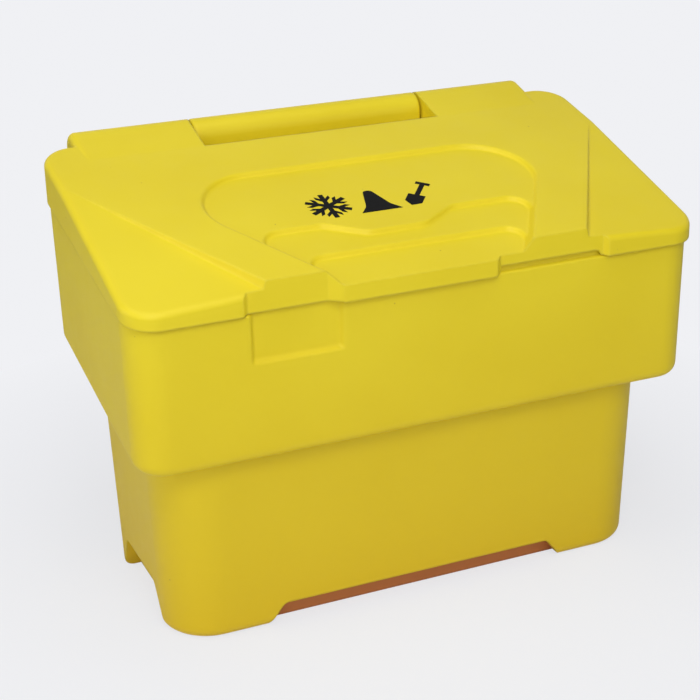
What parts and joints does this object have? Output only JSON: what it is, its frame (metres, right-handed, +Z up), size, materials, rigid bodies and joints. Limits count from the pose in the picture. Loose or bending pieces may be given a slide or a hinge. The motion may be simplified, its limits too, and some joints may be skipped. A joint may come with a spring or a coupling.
{
  "type": "grit salt bin",
  "caption": "Moulded plastic grit salt bin: tapered tub with a sloping collar, arched foot and a hinged sloping lid with a stepped recess.",
  "frame": {"origin": "middle of the bounding box in X and Y, on the ground that the foot stands on", "axes": "+Z up, the front with the hasp recess and the lip of the lid faces -Y, +X to the right as seen from the front"},
  "size_m": [1, 0.5614, 0.7578],
  "materials": {
    "moulding": "fine moulded texture",
    "rod": "zinc plated",
    "vinyl": "satin film"
  },
  "bodies": {
    "bin": {"bin_body": "moulding", "hinge_rod": "rod"},
    "lid": {"lid": "moulding", "rod_plug_left": "moulding", "rod_plug_right": "moulding", "symbol_snowflake": "vinyl", "symbol_grit_heap": "vinyl", "symbol_shovel": "vinyl"}
  },
  "joints": [
    {"name": "lid_hinge", "type": "hinge", "parent": "bin", "child": "lid", "pos_m": [0, 0.2517, 0.7288], "axis": [-1, 0, 0], "range_deg": [0, 105]}
  ]
}
